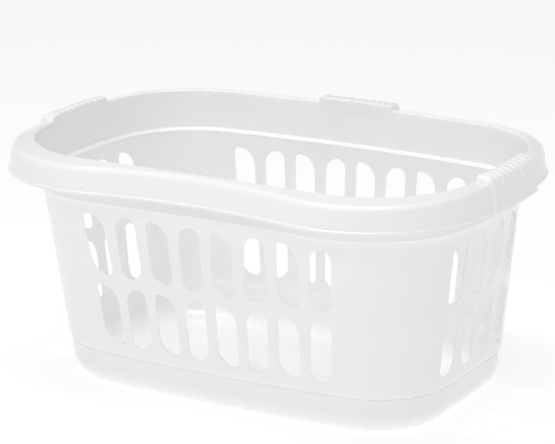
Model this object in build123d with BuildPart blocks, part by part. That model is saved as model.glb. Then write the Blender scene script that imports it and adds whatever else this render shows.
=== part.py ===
from build123d import *
from collections import namedtuple
from math import atan, cos, degrees, radians, sin
import os

# Hip-carry laundry basket, millimetres. +X runs along the length, +Y towards the straight back,
# -Y towards the hollowed front that sits against the hip, +Z up. The origin is on the floor, at
# the middle of the plan.

# ---------------------------------------------------------------- driving dimensions
WALL = 2.0                  # moulded wall thickness everywhere
STEP_Z = 45.0               # crease between the base tray and the slotted wall
LEDGE_Z = 235.0             # top face of the ledge inside the mouth
RIM_FOOT_Z = 272.0          # where the collar and the skirt meet the rim
RIM_Z = 282.5               # top of the rim
SKIRT_Z = 250.0             # lower edge of the rim's skirt

# A plan outline is eight tangent arcs: back, corner, end, corner, front, corner, end, corner.
# Turns are half the angle that the back, end and front arcs sweep; a positive front turn is hollow.
Outline = namedtuple(
    "Outline", "half_length back back_turn end_turn front_turn back_corner front_corner end_radius")
STEP = Outline(237.5, 165.2, 6.0, 2.3, -6.0, 87.0, 87.0, 1550.0)
MOUTH = Outline(271.5, 180.6, 5.65, 10.0, 2.6, 111.0, 121.0, 460.0)
SKIRT = Outline(292.5, 209.5, 5.05, 11.9, 12.2, 133.5, 132.0, 495.0)

TRAY_TAPER = 0.13           # how far the tray's side leans out for each millimetre of height
TRAY_ROUND = 28.0           # outside radius between the tray's floor and its side
FLOOR_LIFT = 3.0            # the middle of the floor stands this far above the resting ring
FLOOR_INSET = 46.0          # from the step outline to the edge of the raised floor

WALL_BASE_OUT = 1.5         # the wall's foot overhangs the tray by this much at the crease
LEDGE_IN = 9.3              # from the mouth's edge in to the inside of the wall

SKIRT_LEAN = 6.2            # how far the skirt leans out from shoulder to lower edge
BEAD = 0.8                  # the lower edge's bead stands this far out
BEAD_HIGH = 2.6
SHOULDER_ROUND = 8.0        # rounding between the rim's top and its skirt
LIP_ROUND = 2.4             # rounding of the rim's inner edge

SLOT_LEAN = 0.00058         # how much each slot leans outwards for each millimetre from the middle
LEAN_MIDDLE = 140.0         # height at which the slots stand at their pitch
UPPER_SLOTS = (144.0, 217.0)
LOWER_SLOTS = (60.5, 131.5)
LEAF = (0.2, 0.8, 0.8, 0.2)     # corner radii over width: top left, bottom left, top right, ...
PILL = (0.6, 0.4, 0.4, 0.6)     # ... bottom right
LONG_SLOT_WIDTH = 25.5
LONG_SLOT_PITCH = 39.0
LONG_SLOT_COUNT = 8
END_SLOT_WIDTH = 26.0
END_SLOT_PITCH = 44.0
END_SLOT_COUNT = 4
LONG_WALL = 338.0           # length of the front and back walls and skirts between the corners
END_WALL = 184.0            # length of the end walls and skirts between the corners
MID_Y = 7.0                 # middle of the end walls and their slots
REACH = 400.0               # longer than half of the basket, for cuts that go right through

RIB_COUNT = 10
SIDE_RIB_PITCH = 11.2
BACK_RIB_PITCH = 9.5
RIB_GAP = 2.2               # width of the groove between two ribs
RIB_DEEP = 1.6              # depth of that groove
RIM_MID_Y = 1.5             # middle of the side grips
GRIP_PROUD = 3.0            # how far the ribs stand out from the skirt and into the mouth
GRIP_HIGH = 6.0             # how far the ribs stand above the rim
GRIP_DROP = 2.0             # the grips reach this far below the skirt
GRIP_INSIDE = 9.0           # and this far down inside the mouth
GRIP_ROUND = 11.0           # rounding of the ribs over the shoulder
GRIP_LIP_ROUND = 3.5        # rounding of the ribs over the mouth's edge

os.makedirs("parts", exist_ok=True)


# ---------------------------------------------------------------- plan outlines
def normal(heading):
    """Outward direction in plan, with the heading in degrees clockwise from +Y."""
    return Vector(sin(radians(heading)), cos(radians(heading)))


def arcs(shape):
    """Centre, radius and the two end headings of the eight arcs, clockwise from the back."""
    turn_x = shape.half_length - shape.end_radius * (1 - cos(radians(shape.end_turn)))
    back_x = turn_x - shape.back_corner * (cos(radians(shape.end_turn)) - sin(radians(shape.back_turn)))
    front_x = turn_x - shape.front_corner * (cos(radians(shape.end_turn)) + sin(radians(shape.front_turn)))
    right_half = [
        (back_x / sin(radians(shape.back_turn)), 0, shape.back_turn),
        (shape.back_corner, shape.back_turn, 90 - shape.end_turn),
        (shape.end_radius, 90 - shape.end_turn, 90 + shape.end_turn),
        (shape.front_corner, 90 + shape.end_turn, 180 + shape.front_turn),
        (-front_x / sin(radians(shape.front_turn)), 180 + shape.front_turn, 180)]
    point = Vector(0, shape.back)
    rows = []
    for radius, first, last in right_half:
        centre = point - normal(first) * radius
        point = centre + normal(last) * radius
        rows.append((centre, radius, first, last))
    back, front = rows[0], rows[-1]
    rows[0] = (back[0], back[1], -back[3], back[3])
    rows[-1] = (front[0], front[1], front[2], 360 - front[2])
    for centre, radius, first, last in reversed(rows[1:4]):
        rows.append((Vector(-centre.X, centre.Y), radius, 360 - last, 360 - first))
    return rows


def arc_points(arc, out):
    """Start, middle and end of an arc whose outline is moved outwards."""
    centre, radius, first, last = arc
    return [centre + normal(heading) * (radius + out) for heading in (first, (first + last) / 2, last)]


def draw_outline(shape, out=0.0):
    """Fill the outline, moved outwards, in the sketch that is open."""
    with BuildLine() as line:
        for arc in arcs(shape):
            ThreePointArc(*arc_points(arc, out))
    make_face(line.edges())


def draw_ring(shape, outer, inner):
    """Fill the band between two offsets of one outline in the sketch that is open."""
    draw_outline(shape, outer)
    with BuildLine() as line:
        for arc in arcs(shape):
            ThreePointArc(*arc_points(arc, inner))
    make_face(line.edges(), mode=Mode.SUBTRACT)


# ---------------------------------------------------------------- stretches of a ring
def block_size(side, middle_size):
    """Length along one axis of a block of space: the middle one, or one outside it."""
    return REACH if side else middle_size


def block_middle(side, middle_size):
    """Centre along one axis of a block of space."""
    return side * (middle_size + REACH) / 2


def export_stretches(ring, side_word, corner_word):
    """Write the four sides and the four corners of a ring, each the part inside one block of space."""
    for x_side, x_name in ((-1, "left"), (0, ""), (1, "right")):
        for y_side, y_name in ((-1, "front"), (0, ""), (1, "back")):
            if x_side or y_side:
                kind = corner_word if x_side and y_side else side_word
                name = "_".join(word for word in (x_name, y_name, kind) if word)
                with BuildPart() as stretch:
                    add(ring)
                    with Locations((block_middle(x_side, LONG_WALL), MID_Y + block_middle(y_side, END_WALL), 0)):
                        Box(block_size(x_side, LONG_WALL), block_size(y_side, END_WALL), RIM_Z * 2,
                            mode=Mode.INTERSECT)
                stretch.part.label = name
                export_step(stretch.part, f"parts/{name}.step")


# ---------------------------------------------------------------- base tray
def tray_out(height):
    """Offset from the step outline of the tray's outside at a height."""
    return TRAY_TAPER * (height - STEP_Z)


def tray_body(inset):
    """Closed body with the tray's shape, drawn in from its outside and up from its floor by inset."""
    with BuildPart() as body:
        for height in (inset, STEP_Z):
            with BuildSketch(Plane.XY.offset(height)):
                draw_outline(STEP, tray_out(height) - inset)
        loft(ruled=True)
        fillet(body.edges().group_by(Axis.Z)[0], TRAY_ROUND - inset)
    return body.part


with BuildPart() as base_tray:
    add(tray_body(0))
    add(tray_body(WALL), mode=Mode.SUBTRACT)
    with BuildSketch(Plane.XY.offset(WALL)):
        draw_outline(STEP, WALL - FLOOR_INSET)
    extrude(amount=FLOOR_LIFT)
    with BuildSketch(Plane.XY):
        draw_outline(STEP, -FLOOR_INSET)
    extrude(amount=FLOOR_LIFT, mode=Mode.SUBTRACT)
base_tray.part.label = "base_tray"
export_step(base_tray.part, "parts/base_tray.step")


# ---------------------------------------------------------------- slotted wall
def slot_face(width, row, shape):
    """Draw one slot about the middle of its row in the sketch that is open."""
    half = width / 2
    rise = (row[1] - row[0]) / 2
    top_left, bottom_left, top_right, bottom_right = (width * share for share in shape)
    with BuildLine() as line:
        Line((-half, bottom_left - rise), (-half, rise - top_left))
        RadiusArc((-half, rise - top_left), (top_left - half, rise), top_left)
        RadiusArc((half - top_right, rise), (half, rise - top_right), top_right)
        Line((half, rise - top_right), (half, bottom_right - rise))
        RadiusArc((half, bottom_right - rise), (half - bottom_right, -rise), bottom_right)
        RadiusArc((bottom_left - half, -rise), (-half, bottom_left - rise), bottom_left)
    make_face(line.edges())


def cut_slots(plane, width, pitch, count, shapes):
    """Cut both rows of slots along the plane's normal, leaning outwards from the middle."""
    for row in (UPPER_SLOTS, LOWER_SLOTS):
        height = (row[0] + row[1]) / 2
        for index in range(count):
            along = (index - (count - 1) / 2) * pitch * (1 + SLOT_LEAN * (height - LEAN_MIDDLE))
            lean = degrees(atan(along * SLOT_LEAN))
            with BuildSketch(plane * Location((along, height, 0), (0, 0, -lean))) as slot:
                slot_face(width, row, shapes[index % 2])
            extrude(slot.sketch, amount=REACH, mode=Mode.SUBTRACT)


with BuildPart() as wall_ring:
    for height, shape, out in ((STEP_Z, STEP, WALL_BASE_OUT), (LEDGE_Z - WALL, MOUTH, WALL - LEDGE_IN)):
        with BuildSketch(Plane.XY.offset(height)):
            draw_outline(shape, out)
    loft(ruled=True)
    for height, shape, out in ((STEP_Z, STEP, WALL_BASE_OUT), (LEDGE_Z - WALL, MOUTH, WALL - LEDGE_IN)):
        with BuildSketch(Plane.XY.offset(height)):
            draw_outline(shape, out - WALL)
    loft(ruled=True, mode=Mode.SUBTRACT)
    for y in (MID_Y, MID_Y + REACH):
        plane = Plane(origin=(0, y, 0), x_dir=(1, 0, 0), z_dir=(0, -1, 0))
        cut_slots(plane, LONG_SLOT_WIDTH, LONG_SLOT_PITCH, LONG_SLOT_COUNT, (LEAF, PILL))
    for x in (0, -REACH):
        plane = Plane(origin=(x, MID_Y, 0), x_dir=(0, 1, 0), z_dir=(1, 0, 0))
        cut_slots(plane, END_SLOT_WIDTH, END_SLOT_PITCH, END_SLOT_COUNT, (PILL, LEAF))

export_stretches(wall_ring.part, "wall", "corner")


# ---------------------------------------------------------------- ledge and collar
with BuildPart() as ledge:
    with BuildSketch(Plane.XY.offset(LEDGE_Z - WALL)):
        draw_ring(MOUTH, WALL, -LEDGE_IN)
    extrude(amount=WALL)
ledge.part.label = "ledge"
export_step(ledge.part, "parts/ledge.step")

with BuildPart() as collar:
    with BuildSketch(Plane.XY.offset(LEDGE_Z)):
        draw_ring(MOUTH, WALL, 0)
    extrude(amount=RIM_FOOT_Z - LEDGE_Z)
collar.part.label = "collar"
export_step(collar.part, "parts/collar.step")


# ---------------------------------------------------------------- rolled rim and its skirt
def rim_body(low, high, out, shoulder):
    """Closed body with the rim's leaning outside and rounded shoulder, and no mouth."""
    with BuildPart() as body:
        for height, lean in ((low, 0), (high, SKIRT_LEAN)):
            with BuildSketch(Plane.XY.offset(height)):
                draw_outline(SKIRT, out - lean)
        loft(ruled=True)
        fillet(body.edges().group_by(Axis.Z)[-1], shoulder)
    return body.part


def mouth_edges(body):
    """The eight top edges round the mouth."""
    return body.edges().group_by(Axis.Z)[-1].sort_by(lambda edge: edge.center().length)[:8]


with BuildPart() as rim_blank:
    add(rim_body(SKIRT_Z, RIM_Z, -BEAD, SHOULDER_ROUND))
    with BuildSketch(Plane.XY.offset(SKIRT_Z)):
        draw_outline(SKIRT)
    extrude(amount=BEAD_HIGH)
    with BuildSketch(Plane.XY.offset(SKIRT_Z)):
        draw_outline(MOUTH)
    extrude(amount=RIM_Z - SKIRT_Z, mode=Mode.SUBTRACT)
    fillet(mouth_edges(rim_blank), LIP_ROUND)

with BuildPart() as rim_hollow:
    add(rim_body(SKIRT_Z, RIM_Z - WALL, -BEAD - WALL, SHOULDER_ROUND - WALL))

with BuildPart() as skirt:
    add(rim_blank.part)
    add(rim_hollow.part, mode=Mode.SUBTRACT)
    split(bisect_by=Plane.XY.offset(RIM_FOOT_Z), keep=Keep.BOTTOM)
export_stretches(skirt.part, "skirt", "skirt")

with BuildPart() as under_rim:
    add(rim_hollow.part)
    with BuildSketch(Plane.XY.offset(SKIRT_Z)):
        draw_outline(MOUTH, WALL)
    extrude(amount=RIM_Z - SKIRT_Z, mode=Mode.SUBTRACT)

with BuildPart() as rim:
    add(rim_blank.part)
    add(under_rim.part, mode=Mode.SUBTRACT)
    split(bisect_by=Plane.XY.offset(RIM_FOOT_Z), keep=Keep.TOP)
rim.part.label = "rim"
export_step(rim.part, "parts/rim.step")


# ---------------------------------------------------------------- ribbed grips
def saddle(proud, rise):
    """A ring over the rim, proud of its skirt and its mouth and rising above its top."""
    with BuildPart() as ring:
        add(rim_body(SKIRT_Z - GRIP_DROP, RIM_Z + rise, proud, GRIP_ROUND))
        with BuildSketch(Plane.XY.offset(SKIRT_Z - GRIP_DROP)):
            draw_outline(SKIRT, -BEAD - WALL)
        extrude(amount=GRIP_DROP, mode=Mode.SUBTRACT)
        with BuildSketch(Plane.XY.offset(SKIRT_Z)):
            draw_outline(MOUTH)
        extrude(amount=RIM_Z - GRIP_INSIDE - SKIRT_Z, mode=Mode.SUBTRACT)
        with BuildSketch(Plane.XY.offset(RIM_Z - GRIP_INSIDE)):
            draw_outline(MOUTH, -proud)
        extrude(amount=GRIP_INSIDE + rise, mode=Mode.SUBTRACT)
        fillet(mouth_edges(ring), GRIP_LIP_ROUND)
        add(rim_blank.part, mode=Mode.SUBTRACT)
        add(rim_hollow.part, mode=Mode.SUBTRACT)
    return ring.part


def slice_at(ring, middle, turn, along, width):
    """The part of a ring inside a slab that runs outwards from the basket's middle."""
    with BuildPart() as piece:
        add(ring)
        with Locations(Location(middle, (0, 0, turn))):
            with Locations((REACH / 2, along, RIM_Z)):
                Box(REACH, width, RIM_Z, mode=Mode.INTERSECT)
    return piece.part


rib_ring = saddle(GRIP_PROUD, GRIP_HIGH)
web_ring = saddle(GRIP_PROUD - RIB_DEEP, GRIP_HIGH - RIB_DEEP)
for name, middle, turn, pitch in (
        ("right_grip", (0, RIM_MID_Y, 0), 0, SIDE_RIB_PITCH),
        ("left_grip", (0, RIM_MID_Y, 0), 180, SIDE_RIB_PITCH),
        ("back_grip", (0, 0, 0), 90, BACK_RIB_PITCH)):
    with BuildPart() as grip:
        add(slice_at(web_ring, middle, turn, 0, RIB_COUNT * pitch - RIB_GAP))
        for rib in range(RIB_COUNT):
            along = (rib - (RIB_COUNT - 1) / 2) * pitch
            add(slice_at(rib_ring, middle, turn, along, pitch - RIB_GAP))
    grip.part.label = name
    export_step(grip.part, f"parts/{name}.step")
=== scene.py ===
from collections import namedtuple
from math import atan2, cos, pi, radians, sin, tan

import bmesh
import bpy
import numpy as np
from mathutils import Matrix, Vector


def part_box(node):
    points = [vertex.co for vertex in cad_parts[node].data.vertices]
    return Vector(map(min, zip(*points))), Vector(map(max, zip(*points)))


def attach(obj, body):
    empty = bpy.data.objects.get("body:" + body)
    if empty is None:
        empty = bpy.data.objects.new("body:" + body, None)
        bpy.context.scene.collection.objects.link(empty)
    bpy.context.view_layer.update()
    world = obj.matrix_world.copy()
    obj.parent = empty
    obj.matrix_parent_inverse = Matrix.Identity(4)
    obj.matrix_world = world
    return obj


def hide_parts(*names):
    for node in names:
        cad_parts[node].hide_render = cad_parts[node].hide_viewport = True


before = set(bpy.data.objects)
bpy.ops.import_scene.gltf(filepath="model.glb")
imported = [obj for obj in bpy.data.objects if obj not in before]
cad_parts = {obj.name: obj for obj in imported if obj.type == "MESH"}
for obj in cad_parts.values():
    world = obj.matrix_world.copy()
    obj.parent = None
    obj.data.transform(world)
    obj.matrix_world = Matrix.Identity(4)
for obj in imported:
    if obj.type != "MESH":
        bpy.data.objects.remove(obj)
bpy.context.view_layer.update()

# ---------------------------------------------------------------- driving dimensions
STEP_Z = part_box("base_tray")[1].z       # crease between the tray and the slotted wall
LEDGE_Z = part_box("ledge")[1].z          # top face of the ledge inside the mouth
RIM_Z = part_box("rim")[1].z              # top of the rim
SKIRT_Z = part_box("front_skirt")[0].z    # lower edge of the rim's skirt
GRIP_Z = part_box("right_grip")[1].z      # top of the ribs
WALL = LEDGE_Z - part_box("ledge")[0].z   # moulded wall thickness
WALL_TOP_Z = LEDGE_Z - WALL

# A plan outline is eight tangent arcs: back, corner, end, corner, front, corner, end, corner.
# Turns are half the angle in degrees that the back, end and front arcs sweep.
Outline = namedtuple(
    "Outline", "half_length back back_turn end_turn front_turn back_corner front_corner end_radius")
STEP = Outline(0.2375, 0.1652, 6.0, 2.3, -6.0, 0.087, 0.087, 1.55)
MOUTH = Outline(0.2715, 0.1806, 5.65, 10.0, 2.6, 0.111, 0.121, 0.46)
SKIRT = Outline(0.2925, 0.2095, 5.05, 11.9, 12.2, 0.1335, 0.132, 0.495)
ARC_STEPS = (320, 144, 160, 176, 304, 176, 160, 144)    # points of an outline on each of its arcs
SWEEP_STRIDE = 4                                        # a swept surface takes every fourth point

TRAY_TAPER = 0.13           # how far the tray widens for each metre of height
TRAY_ROUND = 0.028          # rounding of the tray's lower edge
TRAY_TOP_ROUND = 0.0012
FLOOR_LIFT = 0.003          # height of the raised floor above the resting ring
FLOOR_INSET = 0.046         # distance in from the tray's edge to the raised floor
FLOOR_DRAFT = 0.0015        # how far the side of the raised floor slopes
FLOOR_ROUND = 0.001
FLOOR_EDGE = 0.062          # inset of the ring where the flat floor is closed
FLOOR_RINGS = (0.8, 0.6, 0.4, 0.2)      # sizes of the rings that fill the flat floor

WALL_BASE_OUT = 0.0015      # the foot of the wall before it is tucked in, out from the tray
LEDGE_IN = 0.0093           # width of the ledge inside the mouth
LEDGE_FALL = 0.0008         # the ledge falls this much towards the inside
LEDGE_NOSE_ROUND = 0.0010
LEDGE_ROOT_ROUND = 0.0020
FOOT_Z = 0.0575             # the wall's foot rounds inwards below this
FOOT_TUCK = 0.0015          # how far the outside comes in at the crease
FOOT_TUCK_INSIDE = 0.0012
ROW_Z = 0.138               # border between the two rows of slots

SLOT_LEAN = 0.58            # how much each slot leans outwards for each metre from the middle
LEAN_MIDDLE = 0.140         # height at which the slots stand at their pitch
UPPER_SLOTS = (0.144, 0.217)
LOWER_SLOTS = (0.0605, 0.1315)
LEAF = (0.2, 0.8, 0.8, 0.2)     # corner radii over width: top left, bottom left, top right, ...
PILL = (0.6, 0.4, 0.4, 0.6)     # ... bottom right
SLOT_ROUND = 0.0009         # rounding of the slots' edges
SLOT_SUPPORT = 0.0011       # width of the band that keeps the wall flat beside that rounding
MID_Y = 0.007               # middle of the end walls and their slots
CORNER_STEPS = 14           # points on each corner arc of a slot
SIDE_STEPS = 4              # points on each straight side of a slot
EDGE_STEPS = 5              # faces across each rounded edge of a slot
TURN_STEPS = 26             # columns of faces round a corner of the wall
FOOT_STEPS = 6              # faces down the rounded foot of the wall

SKIRT_LEAN = 0.0062         # how far the skirt comes in from its lower edge to the rim's top
BEAD = 0.0008               # how far the bead along the skirt's lower edge stands out
BEAD_HIGH = 0.0026
BEAD_ROUND = 0.0008
TOP_SLOPE = 0.10            # fall of the rim's top for each metre outwards
SHOULDER_ROUND = 0.0085     # rounding of the rim's outer top edge
LIP_ROUND = 0.0026          # rounding of the rim's inner top edge
UNDER_ROUND = 0.0015        # rounding under the rim, beside the collar

RIB_COUNT = 10
SIDE_RIB_PITCH = 0.0112
BACK_RIB_PITCH = 0.0095
RIB_DEEP = 0.0016           # depth of the grooves between the ribs
RIB_SQUARE = 3              # a higher power gives flatter ribs
RIB_FULL = 0.75             # a lower power gives steeper grooves
RIM_MID_Y = 0.0015          # middle of the end grips
GRIP_PROUD = 0.003          # how far a grip stands out from the skirt
GRIP_INSIDE_PROUD = 0.0005
GRIP_DROP = 0.002           # how far a grip reaches below the skirt
GRIP_CROWN = 0.3            # where a grip is highest, as a share of its width
GRIP_CROWN_ROUND = 0.018
GRIP_INSIDE_ROUND = 0.010
GRIP_FADE = 0.017           # the grips' inside fades into the collar this far below the rim
GRIP_END = 0.0020           # how far each end of a grip reaches beyond its last rib
SINK = 0.0004               # depth below the rim's surface at which a grip's ends disappear
END_SQUARE = 2.2            # the ends of a grip fall away to these two powers
END_FULL = 0.8
GRIP_END_SHARES = (0.3, 0.5, 0.65, 0.77, 0.86, 0.92, 0.96, 0.985, 1.0)
RIB_SHARES = (-1, -0.97, -0.92, -0.84, -0.68, -0.4, 0, 0.4, 0.68, 0.84, 0.92, 0.97)

WALL_NODES = ["front_wall", "back_wall", "left_wall", "right_wall", "left_front_corner",
              "right_front_corner", "left_back_corner", "right_back_corner"]
RIM_NODES = ["rim", "collar", "ledge", "front_skirt", "back_skirt", "left_skirt", "right_skirt",
             "left_front_skirt", "right_front_skirt", "left_back_skirt", "right_back_skirt"]

WELD = 2e-6                 # points closer than this become one
SHARP_ANGLE = 40.0          # edges that turn by more degrees than this stay sharp

# ---------------------------------------------------------------- plastic
PLASTIC_IOR = 1.49
PLASTIC_DARK = (0.945, 0.947, 0.948, 1)
PLASTIC_LIGHT = (0.96, 0.961, 0.961, 1)
PLASTIC_SMOOTH, PLASTIC_DULL = 0.16, 0.20           # least and most roughness
LIGHT_SHARE = 0.25                                  # share of the light that sinks in
LIGHT_TINT = (1.0, 0.95, 0.9)
LIGHT_DEPTH, LIGHT_DEPTH_THICK = 0.0018, 0.0006     # in the thin walls and in the thick grips
FLOW_SCALE, FLOW_STRETCH = 7, (1, 1, 2.5)
SKIN_SCALE, SKIN_STRENGTH, SKIN_HIGH = 1500, 0.12, 0.00005
WAVE_SCALE, WAVE_STRENGTH, WAVE_HIGH = 28, 0.15, 0.0005

# ---------------------------------------------------------------- studio and camera
FLOOR_REACH = 30.0
FLOOR_GREY = 0.28
FLOOR_GLOW = 0.78
SKY_STRENGTH = 0.36
HORIZON_STRENGTH = 1.0
HORIZON_HIGH = 0.07         # height of the bright band at the horizon, as the sine of its elevation
HORIZON_FADE = 0.12
LIGHTS = [      # name, place, target, width and depth, watts
    ("top_softbox", (0, -0.35, 2.2), (0, 0.05, 0.2), (1.8, 0.6), 24),
    ("front_softbox", (0.1, -1.7, 1.6), (0, 0.1, 0.2), (2.2, 0.30), 5)]
CAMERA_LENS = 165.24
CAMERA_PLACE = (1.3606, -2.4072, 0.9851)
CAMERA_TARGET = (-0.0163, 0.0242, 0.1766)


# ---------------------------------------------------------------- plan outlines
def normal(heading):
    """Outward direction in plan, with the heading in degrees clockwise from +Y."""
    return np.array([np.sin(np.radians(heading)), np.cos(np.radians(heading))]).T


def arcs(shape):
    """Centre, radius and the two end headings of the eight arcs, clockwise from the back."""
    turn_x = shape.half_length - shape.end_radius * (1 - cos(radians(shape.end_turn)))
    back_x = turn_x - shape.back_corner * (
        cos(radians(shape.end_turn)) - sin(radians(shape.back_turn)))
    front_x = turn_x - shape.front_corner * (
        cos(radians(shape.end_turn)) + sin(radians(shape.front_turn)))
    right_half = [
        (back_x / sin(radians(shape.back_turn)), 0, shape.back_turn),
        (shape.back_corner, shape.back_turn, 90 - shape.end_turn),
        (shape.end_radius, 90 - shape.end_turn, 90 + shape.end_turn),
        (shape.front_corner, 90 + shape.end_turn, 180 + shape.front_turn),
        (-front_x / sin(radians(shape.front_turn)), 180 + shape.front_turn, 180)]
    point = np.array([0, shape.back])
    rows = []
    for radius, first, last in right_half:
        centre = point - normal(first) * radius
        point = centre + normal(last) * radius
        rows.append((centre, radius, first, last))
    back, front = rows[0], rows[-1]
    rows[0] = (back[0], back[1], -back[3], back[3])
    rows[-1] = (front[0], front[1], front[2], 360 - front[2])
    for centre, radius, first, last in reversed(rows[1:4]):
        rows.append((centre * (-1, 1), radius, 360 - last, 360 - first))
    return rows


def rail(shape, out=0.0):
    """Plan points of an outline moved outwards, from its back left corner clockwise."""
    points = []
    for (centre, radius, first, last), steps in zip(arcs(shape), ARC_STEPS):
        headings = np.linspace(first, last, steps, endpoint=False)
        points.append(centre + normal(headings) * (radius + out))
    return np.concatenate(points)


# ---------------------------------------------------------------- sections and sweeps
def rounded(corners):
    """Points of a path through corners, given as out, z, radius and steps of the arc there."""
    path = []
    for index, (out, z, radius, steps) in enumerate(corners):
        corner = np.array([out, z])
        if not radius:
            path.append(corner)
            continue
        before = np.array(corners[index - 1][:2]) - corner
        after = np.array(corners[(index + 1) % len(corners)][:2]) - corner
        before /= np.linalg.norm(before)
        after /= np.linalg.norm(after)
        half = np.arccos(np.clip(before @ after, -1, 1)) / 2
        centre = corner + (before + after) / np.linalg.norm(before + after) * radius / sin(half)
        start = corner + before * radius / tan(half) - centre
        end = corner + after * radius / tan(half) - centre
        turn = atan2(start[0] * end[1] - start[1] * end[0], start @ end)
        for step in range(steps + 1):
            angle = turn * step / steps
            path.append(centre + (start[0] * cos(angle) - start[1] * sin(angle),
                                  start[0] * sin(angle) + start[1] * cos(angle)))
    return path


def grid_faces(rows, columns, closed_rows, closed_columns):
    """Quads between neighbouring points of a grid that is stored row by row."""
    faces = []
    for row in range(rows if closed_rows else rows - 1):
        for column in range(columns if closed_columns else columns - 1):
            here, there = row * columns, (row + 1) % rows * columns
            across = (column + 1) % columns
            faces.append((here + column, here + across, there + across, there + column))
    return faces


def close_ring(points, faces, first, count):
    """Close a flat ring of points with smaller and smaller rings and a fan."""
    ring = np.array(points[first:first + count])
    middle = ring.mean(axis=0)
    last = first
    for share in FLOOR_RINGS:
        start = len(points)
        points.extend(middle + (ring - middle) * share)
        for index in range(count):
            across = (index + 1) % count
            faces.append((last + index, last + across, start + across, start + index))
        last = start
    points.append(middle)
    for index in range(count):
        faces.append((last + index, last + (index + 1) % count, len(points) - 1))


def make_piece(name, points, faces, nodes, material):
    """One closed smooth mesh that stands for CAD nodes."""
    mesh = bpy.data.meshes.new(name)
    mesh.from_pydata([tuple(point) for point in points], [], faces)
    work = bmesh.new()
    work.from_mesh(mesh)
    bmesh.ops.remove_doubles(work, verts=work.verts, dist=WELD)
    bmesh.ops.recalc_face_normals(work, faces=work.faces)
    work.to_mesh(mesh)
    work.free()
    mesh.shade_smooth()
    mesh.set_sharp_from_angle(angle=radians(SHARP_ANGLE))
    mesh.materials.append(material)
    piece = bpy.data.objects.new(name, mesh)
    bpy.context.scene.collection.objects.link(piece)
    weighted = piece.modifiers.new("weighted", "WEIGHTED_NORMAL")
    weighted.keep_sharp = True
    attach(piece, "root")
    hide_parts(*nodes)
    return piece


# ---------------------------------------------------------------- material
def white_polypropylene(name, light_depth):
    """Satin white moulded plastic with a fine skin and soft flow marks; light sinks in a little."""
    material = bpy.data.materials.new(name)
    material.use_nodes = True
    nodes, links = material.node_tree.nodes, material.node_tree.links
    shader = nodes["Principled BSDF"]
    shader.inputs["IOR"].default_value = PLASTIC_IOR
    shader.inputs["Subsurface Weight"].default_value = LIGHT_SHARE
    shader.inputs["Subsurface Radius"].default_value = LIGHT_TINT
    shader.inputs["Subsurface Scale"].default_value = light_depth
    place = nodes.new("ShaderNodeTexCoord")

    def noise(scale, detail, stretch=(1, 1, 1)):
        mapping = nodes.new("ShaderNodeMapping")
        mapping.inputs["Scale"].default_value = stretch
        texture = nodes.new("ShaderNodeTexNoise")
        texture.inputs["Scale"].default_value = scale
        texture.inputs["Detail"].default_value = detail
        links.new(place.outputs["Object"], mapping.inputs["Vector"])
        links.new(mapping.outputs["Vector"], texture.inputs["Vector"])
        return texture.outputs["Fac"]

    def ramp(source, low, high, first, last):
        spread = nodes.new("ShaderNodeMapRange")
        spread.inputs["From Min"].default_value = low
        spread.inputs["From Max"].default_value = high
        spread.inputs["To Min"].default_value = first
        spread.inputs["To Max"].default_value = last
        links.new(source, spread.inputs["Value"])
        return spread.outputs["Result"]

    flow = noise(FLOW_SCALE, 3, FLOW_STRETCH)
    colour = nodes.new("ShaderNodeMix")
    colour.data_type = "RGBA"
    colour.inputs["A"].default_value = PLASTIC_DARK
    colour.inputs["B"].default_value = PLASTIC_LIGHT
    links.new(ramp(flow, 0.35, 0.65, 0, 1), colour.inputs["Factor"])
    links.new(colour.outputs["Result"], shader.inputs["Base Color"])

    links.new(ramp(flow, 0.3, 0.7, PLASTIC_SMOOTH, PLASTIC_DULL), shader.inputs["Roughness"])

    skin = nodes.new("ShaderNodeBump")
    skin.inputs["Strength"].default_value = SKIN_STRENGTH
    skin.inputs["Distance"].default_value = SKIN_HIGH
    links.new(noise(SKIN_SCALE, 2), skin.inputs["Height"])
    waves = nodes.new("ShaderNodeBump")
    waves.inputs["Strength"].default_value = WAVE_STRENGTH
    waves.inputs["Distance"].default_value = WAVE_HIGH
    links.new(noise(WAVE_SCALE, 1), waves.inputs["Height"])
    links.new(skin.outputs["Normal"], waves.inputs["Normal"])
    links.new(waves.outputs["Normal"], shader.inputs["Normal"])
    return material


plastic = white_polypropylene("white_polypropylene", LIGHT_DEPTH)
thick_plastic = white_polypropylene("white_polypropylene_thick", LIGHT_DEPTH_THICK)


# ---------------------------------------------------------------- base tray
def make_tray():
    """Round-bottomed tray with a resting ring and a raised floor."""
    foot = -TRAY_TAPER * STEP_Z
    section = rounded([
        (-FLOOR_EDGE, FLOOR_LIFT, 0, 0),
        (-FLOOR_INSET - FLOOR_DRAFT, FLOOR_LIFT, FLOOR_ROUND, 4),
        (-FLOOR_INSET, 0, FLOOR_ROUND, 4),
        (foot, 0, TRAY_ROUND, 14),
        (0, STEP_Z, TRAY_TOP_ROUND, 5),
        (-WALL, STEP_Z, 0.0004, 3),
        (foot - WALL, WALL, TRAY_ROUND - WALL, 14),
        (WALL - FLOOR_INSET, WALL, FLOOR_ROUND, 4),
        (WALL - FLOOR_INSET - FLOOR_DRAFT, WALL + FLOOR_LIFT, FLOOR_ROUND, 4),
        (-FLOOR_EDGE, WALL + FLOOR_LIFT, 0, 0)])
    points = []
    for out, z in section:
        ring = rail(STEP, out)[::SWEEP_STRIDE]
        points.extend((x, y, z) for x, y in ring)
    columns = len(ring)
    faces = grid_faces(len(section), columns, False, True)
    close_ring(points, faces, 0, columns)
    close_ring(points, faces, (len(section) - 1) * columns, columns)
    make_piece("base_tray_moulding", points, faces, ["base_tray"], plastic)


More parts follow.
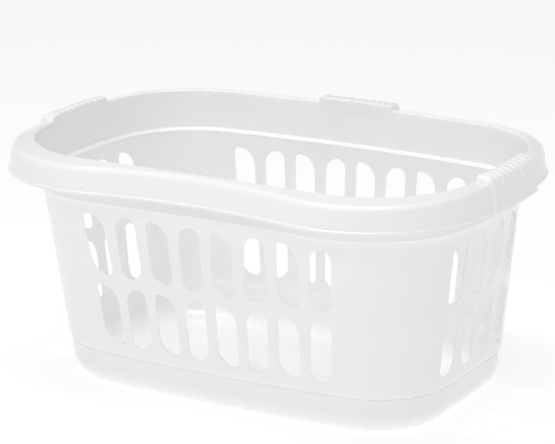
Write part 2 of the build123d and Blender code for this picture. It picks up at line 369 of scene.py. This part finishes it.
# ---------------------------------------------------------------- slotted wall
Side = namedtuple("Side", "name middle pitch count width shapes")
SIDES = [
    Side("back", 0.0, 0.039, 8, 0.0255, (LEAF, PILL)),
    Side("right", MID_Y, 0.044, 4, 0.026, (PILL, LEAF)),
    Side("front", 0.0, 0.039, 8, 0.0255, (LEAF, PILL)),
    Side("left", MID_Y, 0.044, 4, 0.026, (PILL, LEAF))]


class WallSurface:
    """Places points on the leaning wall by height, depth in from outside and place along a side."""

    def __init__(self):
        self.low = rail(STEP, WALL_BASE_OUT)
        self.low_in = rail(STEP, WALL_BASE_OUT - WALL) - self.low
        self.high = rail(MOUTH, WALL - LEDGE_IN)
        self.high_in = rail(MOUTH, -LEDGE_IN) - self.high
        self.kept = {}
        starts = np.cumsum((0, *ARC_STEPS))
        middles = starts[:8] + np.array(ARC_STEPS) // 2
        self.spans = {
            "back": (middles[7] - starts[8], middles[1], 0),
            "right": (middles[1], middles[3], 1),
            "front": (middles[3], middles[5], 0),
            "left": (middles[5], middles[7], 1)}

    def ring(self, z, depth):
        """Plan outline of the wall at a height, some way in from its outside."""
        if (z, depth) not in self.kept:
            below = max(0.0, (FOOT_Z - z) / (FOOT_Z - STEP_Z))
            tuck = FOOT_TUCK + (FOOT_TUCK_INSIDE - FOOT_TUCK) * depth / WALL
            inward = (depth + tuck * (1 - (1 - below ** 2) ** 0.5)) / WALL
            low = self.low + self.low_in * inward
            high = self.high + self.high_in * inward
            self.kept[z, depth] = low + (high - low) * (z - STEP_Z) / (WALL_TOP_Z - STEP_Z)
        return self.kept[z, depth]

    def index(self, side, along, z, depth):
        """Where a ring passes a place along a side, as an index with its fraction."""
        first, last, axis = self.spans[side.name]
        indices = np.arange(first, last)
        values = self.ring(z, depth)[indices, axis]
        order = slice(None, None, 1 if values[0] < values[-1] else -1)
        return float(np.interp(along, values[order], indices[order]))

    def point(self, index, z, depth):
        """The point of a ring at an index with a fraction."""
        ring = self.ring(z, depth)
        low = int(index // 1)
        start, end = ring[low % len(ring)], ring[(low + 1) % len(ring)]
        x, y = start + (end - start) * (index - low)
        return (x, y, z)


def quarter_turn(along, up, radius, first):
    """A quarter turn clockwise from a heading, without its last point."""
    headings = [radians(first + 90 * step / CORNER_STEPS) for step in range(CORNER_STEPS)]
    return [(along + radius * sin(heading), up + radius * cos(heading)) for heading in headings]


def straight(start, end, steps):
    """Points from start towards end, without its last point."""
    return [tuple(a + (b - a) * step / steps for a, b in zip(start, end)) for step in range(steps)]


def slot_outline(width, row, shape, out):
    """A slot about its own middle, clockwise from the foot of its left side, moved outwards."""
    half = width / 2
    rise = (row[1] - row[0]) / 2
    top_left, bottom_left, top_right, bottom_right = (width * share for share in shape)
    left, right = -half - out, half + out
    path = straight((left, bottom_left - rise), (left, rise - top_left), SIDE_STEPS)
    path += quarter_turn(top_left - half, rise - top_left, top_left + out, 270)
    path += quarter_turn(half - top_right, rise - top_right, top_right + out, 0)
    path += straight((right, rise - top_right), (right, bottom_right - rise), SIDE_STEPS)
    path += quarter_turn(half - bottom_right, bottom_right - rise, bottom_right + out, 90)
    path += quarter_turn(bottom_left - half, bottom_left - rise, bottom_left + out, 180)
    return path


def slot_ring(side, column, row, out):
    """A slot in its place on a side, leaning out from the middle, as places along and heights."""
    middle = (row[0] + row[1]) / 2
    away = (column - (side.count - 1) / 2) * side.pitch * (1 + SLOT_LEAN * (middle - LEAN_MIDDLE))
    lean = atan2(away * SLOT_LEAN, 1)
    return [(side.middle + away + a * cos(lean) + b * sin(lean),
             middle - a * sin(lean) + b * cos(lean))
            for a, b in slot_outline(side.width, row, side.shapes[column % 2], out)]


def line_at(side, column, z):
    """Place along a side of the line between two columns of slots."""
    spread = 1 + SLOT_LEAN * (z - LEAN_MIDDLE)
    return side.middle + (column - side.count / 2) * side.pitch * spread


def cell_ring(side, column, low, high):
    """The border halfway to a slot's neighbours, with as many points as the slot."""
    half = CORNER_STEPS // 2
    rise, run = 2 * half + SIDE_STEPS, 2 * half
    path = straight((0, 0), (0, 1), rise) + straight((0, 1), (1, 1), run)
    path += straight((1, 1), (1, 0), rise) + straight((1, 0), (0, 0), run)
    path = path[half:] + path[:half]
    ring = []
    for across, up in path:
        z = low + (high - low) * up
        left, right = line_at(side, column, z), line_at(side, column + 1, z)
        ring.append((left + (right - left) * across, z))
    return ring


def slot_edge():
    """Steps out from a slot's edge and in from the wall's outside, over both rounded edges."""
    half = [(SLOT_ROUND + SLOT_SUPPORT, 0.0)]
    for step in range(EDGE_STEPS + 1):
        angle = pi / 2 * step / EDGE_STEPS
        half.append((SLOT_ROUND * (1 - sin(angle)), SLOT_ROUND * (1 - cos(angle))))
    return half + [(out, WALL - depth) for out, depth in reversed(half)]


def make_wall():
    """The leaning wall with its two rows of slots, its rounded foot and its four corners."""
    surface = WallSurface()
    points, faces = [], []

    def add_rows(rows, closed):
        start = len(points)
        for row in rows:
            points.extend(row)
        for face in grid_faces(len(rows), len(rows[0]), False, closed):
            faces.append(tuple(start + index for index in face))

    for side in SIDES:
        for low, high, row in ((FOOT_Z, ROW_Z, LOWER_SLOTS), (ROW_Z, WALL_TOP_Z, UPPER_SLOTS)):
            for column in range(side.count):
                rings = [(cell_ring(side, column, low, high), 0.0)]
                rings += [(slot_ring(side, column, row, out), depth) for out, depth in slot_edge()]
                rings.append((rings[0][0], WALL))
                add_rows([[surface.point(surface.index(side, along, z, depth), z, depth)
                           for along, z in ring] for ring, depth in rings], True)

    def column_places():
        """Every column of points round the wall, as a function that gives its index at a height."""
        for number, side in enumerate(SIDES):
            steps = side.count * CORNER_STEPS
            rising = side.name in ("back", "left")
            for step in range(steps):
                share = step / steps if rising else 1 - step / steps
                yield None, lambda z, depth, side=side, share=share: surface.index(
                    side, line_at(side, 0, z) * (1 - share) + line_at(side, side.count, z) * share,
                    z, depth)
            following = SIDES[(number + 1) % len(SIDES)]
            wrap = len(surface.low) if side.name == "left" else 0
            for step in range(TURN_STEPS):
                share = step / TURN_STEPS
                yield side, lambda z, depth, side=side, after=following, share=share, wrap=wrap: (
                    end_index(surface, side, True, z, depth) * (1 - share)
                    + (end_index(surface, after, False, z, depth) + wrap) * share)

    places = list(column_places())
    rise = CORNER_STEPS + SIDE_STEPS
    levels = [FOOT_Z + (ROW_Z - FOOT_Z) * step / rise for step in range(rise)]
    levels += [ROW_Z + (WALL_TOP_Z - ROW_Z) * step / rise for step in range(rise + 1)]
    foot = [FOOT_Z - (FOOT_Z - STEP_Z) * sin(pi / 2 * step / FOOT_STEPS)
            for step in range(FOOT_STEPS)] + [STEP_Z]
    under = [(z, 0.0) for z in foot] + [(z, WALL) for z in reversed(foot)]
    for heights in (under, [(WALL_TOP_Z, 0.0), (WALL_TOP_Z, WALL)]):
        add_rows([[surface.point(place(z, depth), z, depth) for _, place in places]
                  for z, depth in heights], True)
    for corner in SIDES:
        turn = [number for number, (side, _) in enumerate(places) if side is corner]
        turn.append((turn[-1] + 1) % len(places))
        for depth in (0.0, WALL):
            add_rows([[surface.point(places[number][1](z, depth), z, depth) for number in turn]
                      for z in levels], False)
    make_piece("slotted_wall_moulding", points, faces, WALL_NODES, plastic)


def end_index(surface, side, after, z, depth):
    """Ring index of the last border of a side, clockwise or anticlockwise from its middle."""
    high = after == (side.name in ("back", "left"))
    return surface.index(side, line_at(side, side.count if high else 0, z), z, depth)


# ---------------------------------------------------------------- rolled rim, collar and ledge
def skirt_out(width, z):
    """Distance out from the mouth of the skirt's outside at a height, above its bead."""
    return width - BEAD - SKIRT_LEAN * (z - SKIRT_Z) / (RIM_Z - SKIRT_Z)


def rim_section(width):
    """Closed section through ledge, collar and rim, out from the mouth and up."""
    drop = TOP_SLOPE * width
    inside = skirt_out(width, RIM_Z - drop) - WALL
    return rounded([
        (-LEDGE_IN, WALL_TOP_Z, 0, 0),
        (-LEDGE_IN, LEDGE_Z - LEDGE_FALL, LEDGE_NOSE_ROUND, 5),
        (0, LEDGE_Z, LEDGE_ROOT_ROUND, 5),
        (0, RIM_Z, LIP_ROUND, 8),
        (skirt_out(width, RIM_Z - drop), RIM_Z - drop, SHOULDER_ROUND, 12),
        (skirt_out(width, SKIRT_Z + BEAD_HIGH + BEAD), SKIRT_Z + BEAD_HIGH + BEAD, 0.001, 3),
        (width, SKIRT_Z + BEAD_HIGH, 0.0006, 3),
        (width, SKIRT_Z, BEAD_ROUND, 4),
        (width - BEAD - WALL, SKIRT_Z, 0.0006, 3),
        (inside, RIM_Z - drop - WALL, SHOULDER_ROUND - WALL, 8),
        (WALL, RIM_Z - WALL, UNDER_ROUND, 4),
        (WALL, WALL_TOP_Z, 0.0008, 4),
        (WALL - LEDGE_IN, WALL_TOP_Z, 0, 0)])


def make_rim():
    """The rim is one section swept round, stretched to the distance between mouth and skirt."""
    mouth = rail(MOUTH)[::SWEEP_STRIDE]
    away = rail(MOUTH, 1)[::SWEEP_STRIDE] - mouth
    edge = rail(SKIRT)[::SWEEP_STRIDE]
    columns = []
    for start, outward, end in zip(mouth, away, edge):
        outside = start + outward * WALL
        reach = np.linalg.norm(end - outside)
        across = (end - outside) / reach
        column = []
        for out, z in rim_section(WALL + reach):
            if out <= WALL:
                x, y = start + outward * out
            else:
                x, y = outside + across * (out - WALL)
            column.append((x, y, z))
        columns.append(column)
    points = [point for column in columns for point in column]
    faces = grid_faces(len(columns), len(columns[0]), True, True)
    make_piece("rolled_rim_moulding", points, faces, RIM_NODES, plastic)


# ---------------------------------------------------------------- ribbed grips
def lerp_paths(first, second, share):
    """Blend two paths that have the same number of points."""
    return [a + (b - a) * share for a, b in zip(first, second)]


def grip_section(width, high, raised):
    """Closed section of a grip: high is 1 on a rib and 0 in a groove, raised is 0 in the rim."""
    drop = TOP_SLOPE * width
    shoulder = skirt_out(width, RIM_Z - drop)
    foot = SKIRT_Z - GRIP_DROP
    groove = RIB_DEEP * (1 - high)
    outer = width + GRIP_PROUD - groove
    top = GRIP_Z - groove
    over = rounded([
        (SINK, RIM_Z - GRIP_FADE, 0, 0),
        (-GRIP_INSIDE_PROUD * 0.7, RIM_Z - 0.006, GRIP_INSIDE_ROUND, 5),
        (-GRIP_INSIDE_PROUD, top - 0.0004, 0.0022, 8),
        (width * GRIP_CROWN, top, GRIP_CROWN_ROUND, 4),
        (outer - SKIRT_LEAN, top - 0.0022, 0.0105, 12),
        (outer, foot, BEAD_ROUND, 4),
        (width - BEAD - WALL, foot, 0.0004, 3)])
    sunk = rounded([
        (SINK, RIM_Z - GRIP_FADE, 0, 0),
        (SINK / 2, RIM_Z - 0.008, GRIP_INSIDE_ROUND, 5),
        (SINK, RIM_Z - SINK, 0.0024, 8),
        (width * GRIP_CROWN, RIM_Z - drop * GRIP_CROWN - SINK, GRIP_CROWN_ROUND, 4),
        (shoulder - SINK, RIM_Z - drop - SINK, SHOULDER_ROUND - SINK, 12),
        (width - BEAD - SINK, SKIRT_Z + SINK, BEAD_ROUND, 4),
        (width - BEAD - WALL + SINK, SKIRT_Z + SINK, 0.0004, 3)])
    under = rounded([
        (width - BEAD - WALL / 2, SKIRT_Z + 0.001, 0, 0),
        (shoulder - WALL / 2, RIM_Z - drop - WALL / 2, SHOULDER_ROUND - WALL / 2, 8),
        (WALL / 2, RIM_Z - WALL / 2, LIP_ROUND - WALL / 2, 5),
        (WALL / 2, RIM_Z - GRIP_FADE, 0, 0)])
    return lerp_paths(sunk, over, raised) + under


def rib_columns(pitch):
    """Place along a grip, height of the rib and height of the whole grip there, from end to end."""
    last = (RIB_COUNT - 1) * pitch / 2
    reach = pitch / 2 + GRIP_END
    ends = [(last + reach * share, 1.0, (1 - share ** END_SQUARE) ** END_FULL)
            for share in GRIP_END_SHARES]
    columns = [(-along, high, raised) for along, high, raised in reversed(ends)]
    for rib in range(RIB_COUNT):
        for share in RIB_SHARES:
            along = rib * pitch - last + share * pitch / 2
            if abs(along) <= last:
                columns.append((along, (1 - abs(share) ** RIB_SQUARE) ** RIB_FULL, 1.0))
    return columns + ends


def make_grip(name, pitch, middle, turn):
    """Ribs over the rim, drawn for the right-hand end or for the back and turned into place."""
    axis = 0 if turn == "back" else 1
    mouth, edge = rail(MOUTH), rail(SKIRT)
    if turn == "back":
        mouth, edge = (np.concatenate([path[-ARC_STEPS[7]:], path[:sum(ARC_STEPS[:2])]])
                       for path in (mouth, edge))
    else:
        mouth, edge = (path[ARC_STEPS[0]:sum(ARC_STEPS[:4])][::-1] for path in (mouth, edge))
    columns = []
    for along, high, raised in rib_columns(pitch):
        place = middle + along
        start = np.interp(place, mouth[:, axis], mouth[:, 1 - axis])
        end = np.interp(place, edge[:, axis], edge[:, 1 - axis])
        section = grip_section(end - start, high, raised)
        if turn == "back":
            columns.append([(place, start + out, z) for out, z in section])
        elif turn == "right":
            columns.append([(start + out, place, z) for out, z in section])
        else:
            columns.append([(-start - out, place, z) for out, z in section])
    points = [point for column in columns for point in column]
    count = len(columns[0])
    faces = grid_faces(len(columns), count, False, True)
    faces.append(tuple(range(count)))
    faces.append(tuple(range(len(points) - count, len(points))))
    make_piece(name + "_moulding", points, faces, [name], thick_plastic)


make_tray()
make_wall()
make_rim()
make_grip("right_grip", SIDE_RIB_PITCH, RIM_MID_Y, "right")
make_grip("left_grip", SIDE_RIB_PITCH, RIM_MID_Y, "left")
make_grip("back_grip", BACK_RIB_PITCH, 0.0, "back")


# ---------------------------------------------------------------- studio
def make_floor():
    """Plain pale floor, large enough to fill every view."""
    mesh = bpy.data.meshes.new("studio_floor")
    signs = ((-1, -1), (1, -1), (1, 1), (-1, 1))
    mesh.from_pydata([(x * FLOOR_REACH, y * FLOOR_REACH, 0) for x, y in signs], [], [(0, 1, 2, 3)])
    material = bpy.data.materials.new("studio_paper")
    material.use_nodes = True
    shader = material.node_tree.nodes["Principled BSDF"]
    shader.inputs["Base Color"].default_value = (FLOOR_GREY, FLOOR_GREY, FLOOR_GREY, 1)
    shader.inputs["Roughness"].default_value = 0.9
    shader.inputs["Specular IOR Level"].default_value = 0.1
    shader.inputs["Emission Color"].default_value = (1, 1, 1, 1)
    shader.inputs["Emission Strength"].default_value = FLOOR_GLOW
    mesh.materials.append(material)
    floor = bpy.data.objects.new("studio_floor", mesh)
    bpy.context.scene.collection.objects.link(floor)


def make_light(name, place, target, size, power):
    """A soft rectangular light that faces a target."""
    data = bpy.data.lights.new(name, "AREA")
    data.shape = "RECTANGLE"
    data.size, data.size_y = size
    data.energy = power
    light = bpy.data.objects.new(name, data)
    light.location = place
    light.rotation_mode = "QUATERNION"
    light.rotation_quaternion = (Vector(target) - Vector(place)).to_track_quat("-Z", "Y")
    bpy.context.scene.collection.objects.link(light)


def make_world():
    """White surroundings, brightest near the horizon."""
    world = bpy.data.worlds.new("studio")
    world.use_nodes = True
    nodes, links = world.node_tree.nodes, world.node_tree.links
    place = nodes.new("ShaderNodeTexCoord")
    split = nodes.new("ShaderNodeSeparateXYZ")
    fade = nodes.new("ShaderNodeMapRange")
    fade.inputs["From Min"].default_value = HORIZON_HIGH
    fade.inputs["From Max"].default_value = HORIZON_HIGH + HORIZON_FADE
    fade.inputs["To Min"].default_value = HORIZON_STRENGTH
    fade.inputs["To Max"].default_value = SKY_STRENGTH
    links.new(place.outputs["Generated"], split.inputs["Vector"])
    links.new(split.outputs["Z"], fade.inputs["Value"])
    links.new(fade.outputs["Result"], nodes["Background"].inputs["Strength"])
    nodes["Background"].inputs["Color"].default_value = (1, 1, 1, 1)
    bpy.context.scene.world = world


def make_camera():
    """Long lens, looking down a little at the front and the right-hand end."""
    data = bpy.data.cameras.new("camera")
    data.lens = CAMERA_LENS
    data.sensor_width = 36.0
    data.clip_end = 100.0
    camera = bpy.data.objects.new("camera", data)
    camera.location = CAMERA_PLACE
    camera.rotation_mode = "QUATERNION"
    view = Vector(CAMERA_TARGET) - Vector(CAMERA_PLACE)
    camera.rotation_quaternion = view.to_track_quat("-Z", "Y")
    bpy.context.scene.collection.objects.link(camera)
    bpy.context.scene.camera = camera


make_floor()
make_world()
for light in LIGHTS:
    make_light(*light)
make_camera()
bpy.context.scene.view_settings.view_transform = "Standard"
